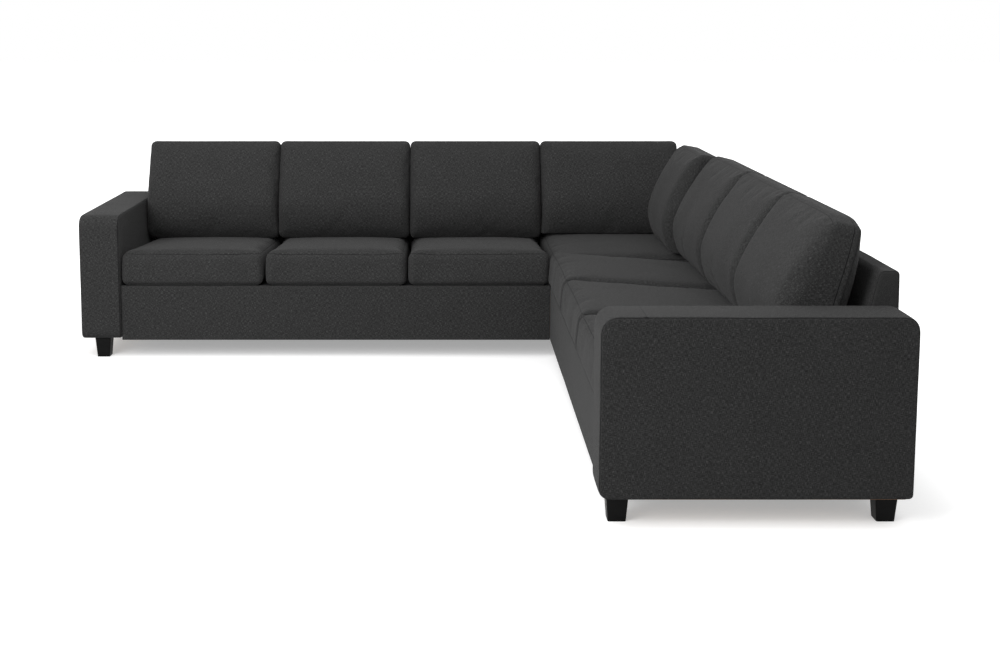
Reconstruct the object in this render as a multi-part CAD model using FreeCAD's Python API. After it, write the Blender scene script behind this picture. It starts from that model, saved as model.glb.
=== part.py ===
import FreeCAD, Part
import math
import os

Vector = FreeCAD.Vector

# Corner sofa for six seats and a corner. Millimetres, +Z up.
# The origin is on the floor under the middle of the square that the sofa fills.
# The left wing stands along the rear (+Y). The right wing comes forward along +X.
# The right wing is the left wing mirrored in the upright plane x = y.

# Driving dimensions of the whole sofa
WING_LENGTH = 2880.0
BASE_DEPTH = 880.0
SEATS_PER_WING = 3
ARM_WIDTH = 170.0
ARM_PROUD = 20.0
ARM_TOP = 615.0
ARM_UNDERSIDE = 82.0
RAIL_UNDERSIDE = 76.0
SEAT_LINE = 312.0
BACK_TOP = 715.0
BACK_TOP_THICKNESS = 65.0
BACK_RAKE = 15.0
SEAT_SLOPE = 4.5
CORNER_DECK = 292.0

# Clearances and skins used throughout
GAP = 0.3
PAD = 12.0
BOARD = 22.0
CLOTH = 1.6
SHARP = 1.0

# Places worked out from the driving dimensions
HALF = WING_LENGTH / 2
ARM_INSIDE = -HALF + ARM_WIDTH
RAIL_FRONT = HALF - BASE_DEPTH
ARM_FRONT = RAIL_FRONT - ARM_PROUD
CORNER_EDGE = RAIL_FRONT
SEAT_PITCH = (CORNER_EDGE - ARM_INSIDE) / SEATS_PER_WING
FRAME_UNDERSIDE = ARM_UNDERSIDE + CLOTH + 2 * GAP
RAKE_RATE = math.tan(math.radians(BACK_RAKE))
SLOPE_RATE = math.tan(math.radians(SEAT_SLOPE))
RAIL_PAD = 15.0
RAIL_BACK = RAIL_FRONT + RAIL_PAD


def back_face(z):
    """Distance of the back's raked front face from the middle, at height z."""
    return HALF - BACK_TOP_THICKNESS - (BACK_TOP - z) * RAKE_RATE


def deck_height(y):
    """Height of the sloping deck of a wing, at the depth y."""
    return SEAT_LINE - (y - RAIL_FRONT) * SLOPE_RATE


# A wing's deck meets the back's face, which tucks in below it. The frames end just in front.
BACK_TUCK = 14.0
REAR_CLEAR = 5.0
deck_to_top = BACK_TOP - SEAT_LINE - RAIL_FRONT * SLOPE_RATE
top_front = HALF - BACK_TOP_THICKNESS
DECK_END = (top_front - deck_to_top * RAKE_RATE) / (1 + SLOPE_RATE * RAKE_RATE)
BACK_FOOT = deck_height(DECK_END) - BACK_TUCK
BASE_REAR = back_face(BACK_FOOT) - REAR_CLEAR


# Shapes that are used for many pieces


def block(x_range, y_range, z_range):
    """A plain board or block between three pairs of limits."""
    (x0, x1), (y0, y1), (z0, z1) = x_range, y_range, z_range
    return Part.makeBox(x1 - x0, y1 - y0, z1 - z0, Vector(x0, y0, z0))


def rounded_wire(corners):
    """A closed outline of straight lines with a rounded corner at each (point, radius)."""
    rounded = []
    for n, (point, radius) in enumerate(corners):
        before = corners[n - 1][0] - point
        after = corners[(n + 1) % len(corners)][0] - point
        half_angle = before.getAngle(after) / 2
        before.normalize()
        after.normalize()
        reach = radius / math.tan(half_angle)
        middle = before + after
        middle.normalize()
        to_arc = radius / math.sin(half_angle) - radius
        rounded.append((point + before * reach, point + middle * to_arc, point + after * reach))
    edges = []
    for n, (start, top, end) in enumerate(rounded):
        edges.append(Part.Arc(start, top, end).toShape())
        edges.append(Part.makeLine(end, rounded[(n + 1) % len(rounded)][0]))
    return Part.Wire(edges)


def straight_wire(points):
    return Part.makePolygon(list(points) + [points[0]])


def along_x(wire, x0, x1):
    """A solid with the outline `wire`, drawn in the plane x = 0, from x0 to x1."""
    solid = Part.Face(wire).extrude(Vector(x1 - x0, 0, 0))
    solid.translate(Vector(x0, 0, 0))
    return solid


def mirrored(shape):
    """The same piece on the other wing."""
    return shape.mirror(Vector(0, 0, 0), Vector(1, -1, 0))


def fused(solids):
    whole = solids[0].multiFuse(solids[1:])
    return whole.removeSplitter()


def without(shape, tools):
    for tool in tools:
        shape = shape.cut(tool)
    return shape


def save(name, solids):
    """Write one named piece, or one named group of equal pieces."""
    shape = solids[0] if len(solids) == 1 else Part.makeCompound(solids)
    shape.exportStep("parts/" + name + ".step")


def save_pair(name, solids):
    """Write a piece of the left wing and the same piece of the right wing."""
    save("left_" + name, solids)
    save("right_" + name, [mirrored(s) for s in solids])


os.makedirs("parts", exist_ok=True)

# Arms: a timber box frame, a thin board on each side and a padded cover open underneath

ARM_TOP_FRONT_RADIUS = 50.0
ARM_TOP_REAR_RADIUS = 42.0
ARM_LOW_FRONT_RADIUS = 32.0
ARM_LOW_REAR_RADIUS = 14.0
ARM_EDGE_RADIUS = 9.0
SIDE_BOARD = 3.0
POST = 45.0
ARM_BOTTOM_BOARD = 25.0


def arm_outline(inset, low, low_front=ARM_LOW_FRONT_RADIUS, low_rear=ARM_LOW_REAR_RADIUS):
    """The arm seen from its side, drawn in by `inset`, with its lower edge at `low`.

    The frame inside keeps the cover's lower radii, so that it stays behind the cover."""
    front = ARM_FRONT + inset
    rear = HALF - inset
    top = ARM_TOP - inset
    return rounded_wire([
        (Vector(0, front, low), low_front),
        (Vector(0, rear, low), low_rear),
        (Vector(0, rear, top), ARM_TOP_REAR_RADIUS - inset),
        (Vector(0, front, top), ARM_TOP_FRONT_RADIUS - inset),
    ])


def arm_cover():
    outside = along_x(arm_outline(0, ARM_UNDERSIDE), -HALF, ARM_INSIDE)
    rims = [e for e in outside.Edges if e.BoundBox.XLength < GAP]
    outside = outside.makeFillet(ARM_EDGE_RADIUS, rims)
    hollow = arm_outline(PAD, ARM_UNDERSIDE - PAD, SHARP, SHARP)
    return outside.cut(along_x(hollow, -HALF + PAD, ARM_INSIDE - PAD))


def arm_frame():
    room = along_x(
        arm_outline(PAD + GAP, ARM_UNDERSIDE),
        -HALF + PAD + SIDE_BOARD + 2 * GAP,
        ARM_INSIDE - PAD - SIDE_BOARD - 2 * GAP,
    )
    across = (-HALF, ARM_INSIDE)
    front = ARM_FRONT + PAD
    rear = HALF - PAD
    top = ARM_TOP - PAD
    boards = [
        block(across, (front, rear), (ARM_UNDERSIDE, ARM_UNDERSIDE + ARM_BOTTOM_BOARD)),
        block(across, (front, rear), (top - BOARD, top)),
        block(across, (front, front + 2 * POST), (ARM_UNDERSIDE, top)),
        block(across, (rear - 2 * POST, rear), (ARM_UNDERSIDE, top)),
        block(across, ((front + rear - POST) / 2, (front + rear + POST) / 2), (ARM_UNDERSIDE, top)),
    ]
    return fused(boards).common(room)


def arm_side_boards():
    outline = arm_outline(PAD + GAP, ARM_UNDERSIDE)
    outer = -HALF + PAD + GAP
    inner = ARM_INSIDE - PAD - GAP
    return [
        along_x(outline, outer, outer + SIDE_BOARD),
        along_x(outline, inner - SIDE_BOARD, inner),
    ]


# Feet under the arms: tapered square blocks, each with a bolt up into the timber

FOOT_TOP_WIDTH = 66.0
FOOT_LOW_WIDTH = 53.0
FOOT_CORNER = 5.0
FOOT_INSET = 62.0
BOLT_RADIUS = 4.0
BOLT_CLEAR = 0.1
BOLT_IN_FOOT = 32.0
BOLT_IN_FRAME = 24.0
SEAM_OF_FOOT = ARM_UNDERSIDE - GAP

foot_places = [
    ((-HALF + ARM_INSIDE) / 2, ARM_FRONT + FOOT_INSET),
    ((-HALF + ARM_INSIDE) / 2, HALF - FOOT_INSET),
]


def foot_ring(place, width, z):
    x, y = place
    h = width / 2
    return rounded_wire([
        (Vector(x - h, y - h, z), FOOT_CORNER),
        (Vector(x + h, y - h, z), FOOT_CORNER),
        (Vector(x + h, y + h, z), FOOT_CORNER),
        (Vector(x - h, y + h, z), FOOT_CORNER),
    ])


def bolt_hole(place, low, high):
    x, y = place
    return Part.makeCylinder(BOLT_RADIUS + BOLT_CLEAR, high - low, Vector(x, y, low))


def foot_bolt_hole(place):
    return bolt_hole(place, SEAM_OF_FOOT - BOLT_IN_FOOT - GAP, SEAM_OF_FOOT + BOLT_IN_FRAME + GAP)


def foot_bolt(place):
    x, y = place
    low = SEAM_OF_FOOT - BOLT_IN_FOOT
    return Part.makeCylinder(BOLT_RADIUS, BOLT_IN_FOOT + BOLT_IN_FRAME, Vector(x, y, low))


def arm_foot(place):
    rings = [
        foot_ring(place, FOOT_LOW_WIDTH, 0.0),
        foot_ring(place, FOOT_TOP_WIDTH, SEAM_OF_FOOT),
    ]
    return Part.makeLoft(rings, True, True).cut(foot_bolt_hole(place))


# Support legs under the frames, out of sight: plain round legs

LEG_TOP_RADIUS = 27.0
LEG_LOW_RADIUS = 22.0
LEG_BLOCK = 76.0
LEG_BLOCK_HEIGHT = 45.0
LEG_SETBACK = 425.0

leg_row = RAIL_FRONT + LEG_SETBACK
leg_from_edge = BOARD + LEG_BLOCK / 2
leg_rear_row = BASE_REAR - leg_from_edge
leg_by_corner = CORNER_EDGE - GAP - leg_from_edge
leg_past_corner = CORNER_EDGE + GAP + leg_from_edge
wing_leg_places = [
    (ARM_INSIDE + SEAT_PITCH, leg_row),
    (ARM_INSIDE + 2 * SEAT_PITCH, leg_row),
    (leg_by_corner, leg_row),
    (ARM_INSIDE + 2 * SEAT_PITCH, leg_rear_row),
]
corner_leg_places = [
    (leg_rear_row, leg_rear_row),
    (leg_past_corner, leg_rear_row),
    (leg_rear_row, leg_past_corner),
]
mirrored_leg_places = [(y, x) for x, y in wing_leg_places]


def support_leg(place):
    x, y = place
    cone = Part.makeCone(LEG_LOW_RADIUS, LEG_TOP_RADIUS, SEAM_OF_FOOT, Vector(x, y, 0))
    return cone.cut(foot_bolt_hole(place))


def leg_block(place):
    x, y = place
    h = LEG_BLOCK / 2
    z_range = (FRAME_UNDERSIDE, FRAME_UNDERSIDE + LEG_BLOCK_HEIGHT)
    return block((x - h, x + h), (y - h, y + h), z_range)


# Bolts with six-sided heads and nuts that hold the arms and the sections together

HEAD_RADIUS = 7.5
HEAD_HEIGHT = 5.5
NUT_HEIGHT = 6.5
BOLT_TAIL = 3.0


def hexagon(x, y, z, height, hole):
    """A six-sided head or nut whose axis is along X, starting at x."""
    corners = []
    for n in range(6):
        turn = math.radians(60 * n)
        corners.append(Vector(x, y + HEAD_RADIUS * math.cos(turn), z + HEAD_RADIUS * math.sin(turn)))
    body = Part.Face(straight_wire(corners)).extrude(Vector(height, 0, 0))
    if hole:
        body = body.cut(rod(x - SHARP, x + height + SHARP, y, z, BOLT_RADIUS + BOLT_CLEAR))
    return body


def rod(x0, x1, y, z, radius):
    return Part.makeCylinder(radius, x1 - x0, Vector(x0, y, z), Vector(1, 0, 0))


ARM_BOLT_HEIGHTS = (150.0, 225.0)
ARM_BOLT_DEPTHS = (ARM_FRONT + PAD + 2 * POST + 3 * BOARD, BASE_REAR - 4 * BOARD)
arm_bolt_places = [(y, z) for y in ARM_BOLT_DEPTHS for z in ARM_BOLT_HEIGHTS]
ARM_NUT_SEAT = ARM_INSIDE - PAD - SIDE_BOARD - GAP
ARM_HEAD_SEAT = ARM_INSIDE + GAP + BOARD
SECTION_BOLT_HEIGHT = 180.0
section_bolt_depths = (RAIL_BACK + 5 * BOARD, BASE_REAR - 5 * BOARD)


def arm_bolt(y, z):
    shank = rod(ARM_NUT_SEAT - NUT_HEIGHT - BOLT_TAIL, ARM_HEAD_SEAT + GAP, y, z, BOLT_RADIUS)
    return fused([shank, hexagon(ARM_HEAD_SEAT + GAP, y, z, HEAD_HEIGHT, False)])


def arm_nut(y, z):
    return hexagon(ARM_NUT_SEAT - GAP - NUT_HEIGHT, y, z, NUT_HEIGHT, True)


def arm_bolt_hole(y, z):
    return rod(ARM_NUT_SEAT - BOARD, ARM_HEAD_SEAT + SHARP, y, z, BOLT_RADIUS + BOLT_CLEAR)


def section_bolt(y):
    z = SECTION_BOLT_HEIGHT
    head = CORNER_EDGE - BOARD - 2 * GAP
    nut_end = CORNER_EDGE + BOARD + 3 * GAP + NUT_HEIGHT
    return fused([
        rod(head, nut_end + BOLT_TAIL, y, z, BOLT_RADIUS),
        hexagon(head - HEAD_HEIGHT, y, z, HEAD_HEIGHT, False),
    ])


def section_nut(y):
    return hexagon(CORNER_EDGE + BOARD + 3 * GAP, y, SECTION_BOLT_HEIGHT, NUT_HEIGHT, True)


def section_hole(y):
    clear = BOLT_RADIUS + BOLT_CLEAR
    return rod(CORNER_EDGE - 2 * BOARD, CORNER_EDGE + 2 * BOARD, y, SECTION_BOLT_HEIGHT, clear)


# Base frames: boards on edge under the deck, with a block over each support leg

STRAP = 2.0
FRAME_DROP = CLOTH + STRAP + 2 * GAP


def under_wing_deck(drop, x0, x1, y0, y1):
    """The room below a wing's sloping deck, `drop` under its surface."""
    return along_x(straight_wire([
        Vector(0, y0, FRAME_UNDERSIDE),
        Vector(0, y1, FRAME_UNDERSIDE),
        Vector(0, y1, deck_height(y1) - drop),
        Vector(0, y0, deck_height(y0) - drop),
    ]), x0, x1)


def wing_base_frame():
    start = ARM_INSIDE + GAP
    end = CORNER_EDGE - GAP
    front = RAIL_BACK + GAP
    high = (FRAME_UNDERSIDE, SEAT_LINE)
    ribs = [ARM_INSIDE + SEAT_PITCH * n for n in range(1, SEATS_PER_WING)]
    boards = [
        block((start, end), (front, front + BOARD), high),
        block((start, end), (BASE_REAR - BOARD, BASE_REAR), high),
        block((start, start + BOARD), (front, BASE_REAR), high),
        block((end - BOARD, end), (front, BASE_REAR), high),
    ]
    boards += [block((x - BOARD / 2, x + BOARD / 2), (front, BASE_REAR), high) for x in ribs]
    boards += [leg_block(p) for p in wing_leg_places]
    room = under_wing_deck(FRAME_DROP, start, end, front, BASE_REAR)
    holes = [foot_bolt_hole(p) for p in wing_leg_places]
    holes += [arm_bolt_hole(y, z) for y, z in arm_bolt_places]
    holes += [section_hole(y) for y in section_bolt_depths]
    return without(fused(boards).common(room), holes)


def corner_base_frame():
    low = CORNER_EDGE + GAP
    high = (FRAME_UNDERSIDE, CORNER_DECK - FRAME_DROP)
    boards = [
        block((low, low + BOARD), (low, BASE_REAR), high),
        block((BASE_REAR - BOARD, BASE_REAR), (low, BASE_REAR), high),
        block((low, BASE_REAR), (low, low + BOARD), high),
        block((low, BASE_REAR), (BASE_REAR - BOARD, BASE_REAR), high),
    ]
    boards += [leg_block(p) for p in corner_leg_places]
    holes = [foot_bolt_hole(p) for p in corner_leg_places]
    holes += [section_hole(y) for y in section_bolt_depths]
    holes += [mirrored(section_hole(y)) for y in section_bolt_depths]
    return without(fused(boards), holes)


# Elastic straps from front to rear, the deck cloth over them and the dust cover under all

STRAP_WIDTH = 60.0
STRAPS_PER_SEAT = 5


def strap_places(start, pitch):
    return [start + pitch * (n + 0.5) / STRAPS_PER_SEAT for n in range(STRAPS_PER_SEAT)]


def sloping_sheet(x0, x1, y0, y1, top_drop, thickness):
    """A sheet that follows the wing's deck, with its upper face `top_drop` below it."""
    return along_x(straight_wire([
        Vector(0, y0, deck_height(y0) - top_drop),
        Vector(0, y0, deck_height(y0) - top_drop - thickness),
        Vector(0, y1, deck_height(y1) - top_drop - thickness),
        Vector(0, y1, deck_height(y1) - top_drop),
    ]), x0, x1)


def wing_straps():
    straps = []
    for n in range(SEATS_PER_WING):
        for x in strap_places(ARM_INSIDE + SEAT_PITCH * n, SEAT_PITCH):
            half = STRAP_WIDTH / 2
            straps.append(sloping_sheet(
                x - half, x + half, RAIL_BACK + GAP, BASE_REAR, CLOTH + GAP, STRAP
            ))
    return straps


def corner_straps():
    low = CORNER_EDGE + GAP
    top = CORNER_DECK - CLOTH - GAP
    return [
        block((x - STRAP_WIDTH / 2, x + STRAP_WIDTH / 2), (low, BASE_REAR), (top - STRAP, top))
        for x in strap_places(low, BASE_REAR - low)
    ]


def wing_deck_cloth():
    return sloping_sheet(ARM_INSIDE + GAP, CORNER_EDGE - GAP, RAIL_BACK + GAP, BASE_REAR, 0, CLOTH)


def corner_deck_cloth():
    side = (CORNER_EDGE + GAP, BASE_REAR)
    return block(side, side, (CORNER_DECK - CLOTH, CORNER_DECK))


def dust_cover(x_range, y_range, places):
    sheet = block(x_range, y_range, (ARM_UNDERSIDE + GAP, ARM_UNDERSIDE + GAP + CLOTH))
    return without(sheet, [foot_bolt_hole(p) for p in places])


# Padded cover of the front rail, a little lower than the arms

RAIL_TOP_RADIUS = 12.0
RAIL_LOW_RADIUS = 5.0


def front_rail_cover():
    return along_x(rounded_wire([
        (Vector(0, RAIL_FRONT, RAIL_UNDERSIDE), RAIL_LOW_RADIUS),
        (Vector(0, RAIL_BACK, RAIL_UNDERSIDE), SHARP),
        (Vector(0, RAIL_BACK, deck_height(RAIL_BACK)), SHARP),
        (Vector(0, RAIL_FRONT, deck_height(RAIL_FRONT)), RAIL_TOP_RADIUS),
    ]), ARM_INSIDE + GAP, CORNER_EDGE - GAP)


# The backs: a padded cover shaped as a wedge over plywood ribs and two long rails

BACK_TOP_RADIUS = 12.0
RIB = 18.0
BACK_RAIL = 40.0


def back_outline(inset, low):
    """The back seen from its end, drawn in by `inset`, open below the height `low`."""
    slant = inset / math.cos(math.radians(BACK_RAKE))
    top = BACK_TOP - inset
    rear = HALF - inset
    top_radius = max(BACK_TOP_RADIUS - inset, SHARP)
    return rounded_wire([
        (Vector(0, back_face(low) + slant, low), SHARP),
        (Vector(0, rear, low), SHARP),
        (Vector(0, rear, top), top_radius),
        (Vector(0, back_face(top) + slant, top), top_radius),
    ])


def back_cover(x0, x1):
    shell = along_x(back_outline(0, BACK_FOOT), x0, x1)
    hollow = along_x(back_outline(PAD, BACK_FOOT - PAD), x0 + PAD, x1 - PAD)
    skirt = block((x0, x1), (HALF - PAD, HALF), (RAIL_UNDERSIDE, BACK_FOOT + PAD))
    return fused([shell.cut(hollow), skirt])


def back_frame(x0, x1, rib_places):
    inset = PAD + GAP
    room = fused([
        along_x(back_outline(inset, BACK_FOOT), x0 + inset, x1 - inset),
        block(
            (x0 + inset, x1 - inset), (BASE_REAR + GAP, HALF - inset), (FRAME_UNDERSIDE, BACK_FOOT)
        ),
    ])
    full = (BASE_REAR, HALF)
    rail = (HALF - inset - BACK_RAIL, HALF)
    high = (FRAME_UNDERSIDE, BACK_TOP)
    boards = [block((x - RIB / 2, x + RIB / 2), full, high) for x in rib_places]
    boards += [
        block((x0, x1), rail, (BACK_TOP - inset - BACK_RAIL, BACK_TOP)),
        block((x0, x1), rail, (BACK_FOOT, BACK_FOOT + BACK_RAIL)),
    ]
    return fused(boards).common(room)


def behind_mitre(shape):
    """Only the part of a corner back on its own side of the diagonal."""
    far = 2 * HALF
    other_side = Part.Face(straight_wire([
        Vector(-far - GAP, -far + GAP, 0),
        Vector(far - GAP, far + GAP, 0),
        Vector(far - GAP, -far, 0),
    ])).extrude(Vector(0, 0, far))
    return shape.cut(other_side)


def wing_rib_places():
    inset = PAD + GAP + RIB / 2
    first = ARM_INSIDE + GAP + inset
    last = CORNER_EDGE - GAP - inset
    between = [ARM_INSIDE + SEAT_PITCH * n for n in range(1, SEATS_PER_WING)]
    return [first] + between + [last]


# Cushions: closed soft forms through a stack of rounded outlines

SEAT_FRONT_REACH = 15.0
SEAT_THICKNESS = 158.0
CUSHION_GAP = 4.0


def ring(x_range, y_range, z, radius):
    (x0, x1), (y0, y1) = x_range, y_range
    return rounded_wire([
        (Vector(x0, y0, z), radius),
        (Vector(x1, y0, z), radius),
        (Vector(x1, y1, z), radius),
        (Vector(x0, y1, z), radius),
    ])


# Seat cushion levels: share of the thickness, how far the edge is drawn in, corner radius
SEAT_LEVELS = [
    (0.0, 24.0, 40.0),
    (0.03, 11.0, 42.0),
    (0.09, 4.0, 45.0),
    (0.2, 0.8, 48.0),
    (0.4, 0.0, 50.0),
    (0.62, 1.0, 50.0),
    (0.75, 4.5, 50.0),
    (0.85, 12.0, 52.0),
    (0.925, 26.0, 58.0),
    (0.97, 50.0, 66.0),
    (1.0, 92.0, 80.0),
]


def seat_form(width, length):
    """A crowned seat cushion lying flat, with its front left lower corner at the origin."""
    rings = []
    for share, inset, radius in SEAT_LEVELS:
        sides = (inset, width - inset)
        rings.append(ring(sides, (inset, length - inset), share * SEAT_THICKNESS, radius))
    return Part.makeLoft(rings, True, True)


SEAT_REAR_CLEAR = 2.0
SEAT_REAR = back_face(BACK_FOOT) - SEAT_REAR_CLEAR
SEAT_FRONT = RAIL_FRONT - SEAT_FRONT_REACH


def wing_seat_cushion(number):
    """One of a wing's seats, counted from the arm, lying on the sloping deck."""
    cushion = seat_form(SEAT_PITCH - CUSHION_GAP, SEAT_REAR - SEAT_FRONT)
    cushion.rotate(Vector(0, 0, 0), Vector(1, 0, 0), -SEAT_SLOPE)
    x = ARM_INSIDE + SEAT_PITCH * number + CUSHION_GAP / 2
    cushion.translate(Vector(x, SEAT_FRONT, deck_height(SEAT_FRONT) + GAP))
    return cushion


def corner_seat_cushion():
    edge = CORNER_EDGE + CUSHION_GAP / 2
    side = SEAT_REAR - edge
    cushion = seat_form(side, side)
    cushion.translate(Vector(edge, edge, CORNER_DECK + GAP))
    return cushion


BACK_HEIGHT = 458.0
BACK_LEAN = 14.6
BACK_SEAM_REACH = 235.0
BACK_SEAM_FOOT = 410.0

# Back cushion layers from the rear panel to the front panel, on a cushion as wide and high as
# the next two sizes: distance in front of the rear seam, how far the top, the bottom and the
# sides are drawn in, corner radius. The front seam is at the second layer above the rear one.
LAYER_WIDTH = 606.0
LAYER_HEIGHT = 458.0
BACK_LAYERS = [
    (-76.0, 150.0, 150.0, 190.0, 60.0),
    (-70.0, 110.0, 110.0, 140.0, 60.0),
    (-58.0, 72.0, 72.0, 92.0, 56.0),
    (-40.0, 38.0, 38.0, 46.0, 48.0),
    (-20.0, 14.0, 16.0, 16.0, 40.0),
    (0.0, 2.0, 4.0, 2.5, 32.0),
    (15.0, 0.0, 0.0, 0.0, 30.0),
    (30.0, 0.0, 0.0, 0.0, 30.0),
    (66.0, 1.0, 0.0, 2.0, 31.0),
    (84.0, 5.0, 1.0, 5.0, 33.0),
    (102.0, 22.0, 6.0, 13.0, 40.0),
    (120.0, 54.0, 14.0, 28.0, 46.0),
    (138.0, 98.0, 28.0, 50.0, 54.0),
    (154.0, 158.0, 50.0, 84.0, 60.0),
    (166.0, 212.0, 80.0, 126.0, 60.0),
    (174.0, 262.0, 114.0, 180.0, 40.0),
]


def back_form(width):
    """A back cushion lying on its rear panel, with its lower left seam corner at the origin."""
    across = width / LAYER_WIDTH
    up = BACK_HEIGHT / LAYER_HEIGHT
    rings = []
    for rise, top_inset, foot_inset, side_inset, radius in BACK_LAYERS:
        sides = (side_inset * across, width - side_inset * across)
        heights = (foot_inset * up, BACK_HEIGHT - top_inset * up)
        rings.append(ring(sides, heights, rise, radius * min(across, up)))
    return Part.makeLoft(rings, True, True)


def standing_back(x, width, lean=BACK_LEAN, forward=0.0):
    """A back cushion leaning on the rear back, from x onwards."""
    cushion = back_form(width)
    cushion.rotate(Vector(0, 0, 0), Vector(1, 0, 0), 90.0 - lean)
    cushion.translate(Vector(x, HALF - BACK_SEAM_REACH - forward, BACK_SEAM_FOOT))
    return cushion


seat_rise = SEAT_THICKNESS / math.cos(math.radians(SEAT_SLOPE)) + 2 * GAP


def cut_to_wing_seat(cushion):
    """Flatten a back cushion's underside where it stands on a wing's sloping seats."""
    far = WING_LENGTH
    below = along_x(straight_wire([
        Vector(0, 0, 0),
        Vector(0, far, 0),
        Vector(0, far, deck_height(far) + seat_rise),
        Vector(0, 0, deck_height(0) + seat_rise),
    ]), -far, far)
    return cushion.cut(below)


def cut_to_corner_seat(cushion):
    top = CORNER_DECK + SEAT_THICKNESS + 2 * GAP
    return cushion.cut(block((-HALF, HALF), (-HALF, HALF), (0, top)))


# The corner's rear cushion ends just in front of the side back, and its side cushion ends
# where the rear one's front panel begins. The side one is pushed forward and more upright.
REAR_CUSHION_CLEAR = 238.0
SIDE_CUSHION_CLEAR = 390.0
SIDE_CUSHION_LEAN = 10.5
SIDE_CUSHION_FORWARD = 24.0


def wing_back_cushion(number):
    x = ARM_INSIDE + SEAT_PITCH * number + CUSHION_GAP / 2
    return cut_to_wing_seat(standing_back(x, SEAT_PITCH - CUSHION_GAP))


def corner_back_cushion(clear, lean=BACK_LEAN, forward=0.0):
    x = CORNER_EDGE + CUSHION_GAP / 2
    return cut_to_corner_seat(standing_back(x, HALF - clear - x, lean, forward))


# Build and write every piece

foot_holes = [foot_bolt_hole(p) for p in foot_places]
arm_holes = [arm_bolt_hole(y, z) for y, z in arm_bolt_places]
save_pair("arm_cover", [without(arm_cover(), arm_holes)])
save_pair("arm_frame", [without(arm_frame(), foot_holes + arm_holes)])
outer_board, inner_board = arm_side_boards()
save_pair("arm_side_boards", [outer_board, without(inner_board, arm_holes)])
save_pair("arm_front_foot", [arm_foot(foot_places[0])])
save_pair("arm_rear_foot", [arm_foot(foot_places[1])])

all_leg_places = wing_leg_places + mirrored_leg_places + corner_leg_places
save("support_legs", [support_leg(p) for p in all_leg_places])
all_foot_places = foot_places + [(y, x) for x, y in foot_places]
save("foot_bolts", [foot_bolt(p) for p in all_foot_places + all_leg_places])

arm_bolts = [arm_bolt(y, z) for y, z in arm_bolt_places]
arm_nuts = [arm_nut(y, z) for y, z in arm_bolt_places]
save("arm_bolts", arm_bolts + [mirrored(s) for s in arm_bolts])
save("arm_nuts", arm_nuts + [mirrored(s) for s in arm_nuts])
section_bolts = [section_bolt(y) for y in section_bolt_depths]
section_nuts = [section_nut(y) for y in section_bolt_depths]
save("section_bolts", section_bolts + [mirrored(s) for s in section_bolts])
save("section_nuts", section_nuts + [mirrored(s) for s in section_nuts])

save_pair("base_frame", [wing_base_frame()])
save("corner_base_frame", [corner_base_frame()])
save_pair("seat_webbing", wing_straps())
save("corner_seat_webbing", corner_straps())
save_pair("deck_cloth", [wing_deck_cloth()])
save("corner_deck_cloth", [corner_deck_cloth()])
wing_span = (ARM_INSIDE + GAP, CORNER_EDGE - GAP)
under_rear = HALF - PAD - GAP
wing_dust = dust_cover(wing_span, (RAIL_BACK + GAP, under_rear), wing_leg_places)
save_pair("dust_cover", [wing_dust])
corner_side = (CORNER_EDGE + GAP, under_rear)
save("corner_dust_cover", [dust_cover(corner_side, corner_side, corner_leg_places)])
save_pair("front_rail_cover", [front_rail_cover()])

save_pair("back_cover", [back_cover(ARM_INSIDE + GAP, CORNER_EDGE - GAP)])
save_pair("back_frame", [back_frame(ARM_INSIDE + GAP, CORNER_EDGE - GAP, wing_rib_places())])
corner_cover = behind_mitre(back_cover(CORNER_EDGE + GAP, HALF + PAD))
save("corner_back_cover_rear", [corner_cover])
save("corner_back_cover_side", [mirrored(corner_cover)])
corner_ribs = [CORNER_EDGE + GAP + PAD + GAP + RIB / 2, CORNER_EDGE + SEAT_PITCH]
corner_frame = behind_mitre(back_frame(CORNER_EDGE + GAP, HALF, corner_ribs))
save("corner_back_frame_rear", [corner_frame])
save("corner_back_frame_side", [mirrored(corner_frame)])

for place in range(SEATS_PER_WING):
    save_pair("seat_cushion_" + str(place + 1), [wing_seat_cushion(place)])
    save_pair("back_cushion_" + str(place + 1), [wing_back_cushion(place)])
save("corner_seat_cushion", [corner_seat_cushion()])
save("corner_back_cushion_rear", [corner_back_cushion(REAR_CUSHION_CLEAR)])
side_cushion = corner_back_cushion(SIDE_CUSHION_CLEAR, SIDE_CUSHION_LEAN, SIDE_CUSHION_FORWARD)
save("corner_back_cushion_side", [mirrored(side_cushion)])
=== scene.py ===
import math

import bpy
import numpy as np
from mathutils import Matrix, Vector, noise


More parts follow.
